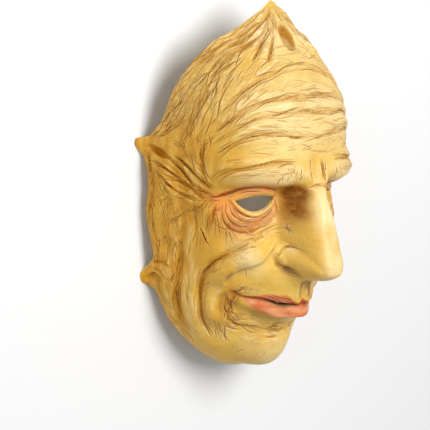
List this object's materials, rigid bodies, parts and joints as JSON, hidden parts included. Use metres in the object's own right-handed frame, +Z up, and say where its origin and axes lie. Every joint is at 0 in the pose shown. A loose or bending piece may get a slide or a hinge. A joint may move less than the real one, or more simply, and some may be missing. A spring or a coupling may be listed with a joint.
{
  "type": "monster mask",
  "caption": "Latex half mask of a wrinkled monster face with a long nose, open eye holes and mouth, lying face up on the points of its rim.",
  "frame": {"origin": "on the surface that the mask lies on, under the middle of its bounding box", "axes": "+Z up out of the face, away from that surface; +Y from the chin to the crest; +X to the right as one looks at the face, which is the wearer's left"},
  "size_m": [0.1666, 0.2726, 0.1262],
  "materials": {
    "latex": "satin painted latex, brown wash in the wrinkles"
  },
  "bodies": {
    "root": {"latex_mask": "latex"}
  },
  "joints": []
}
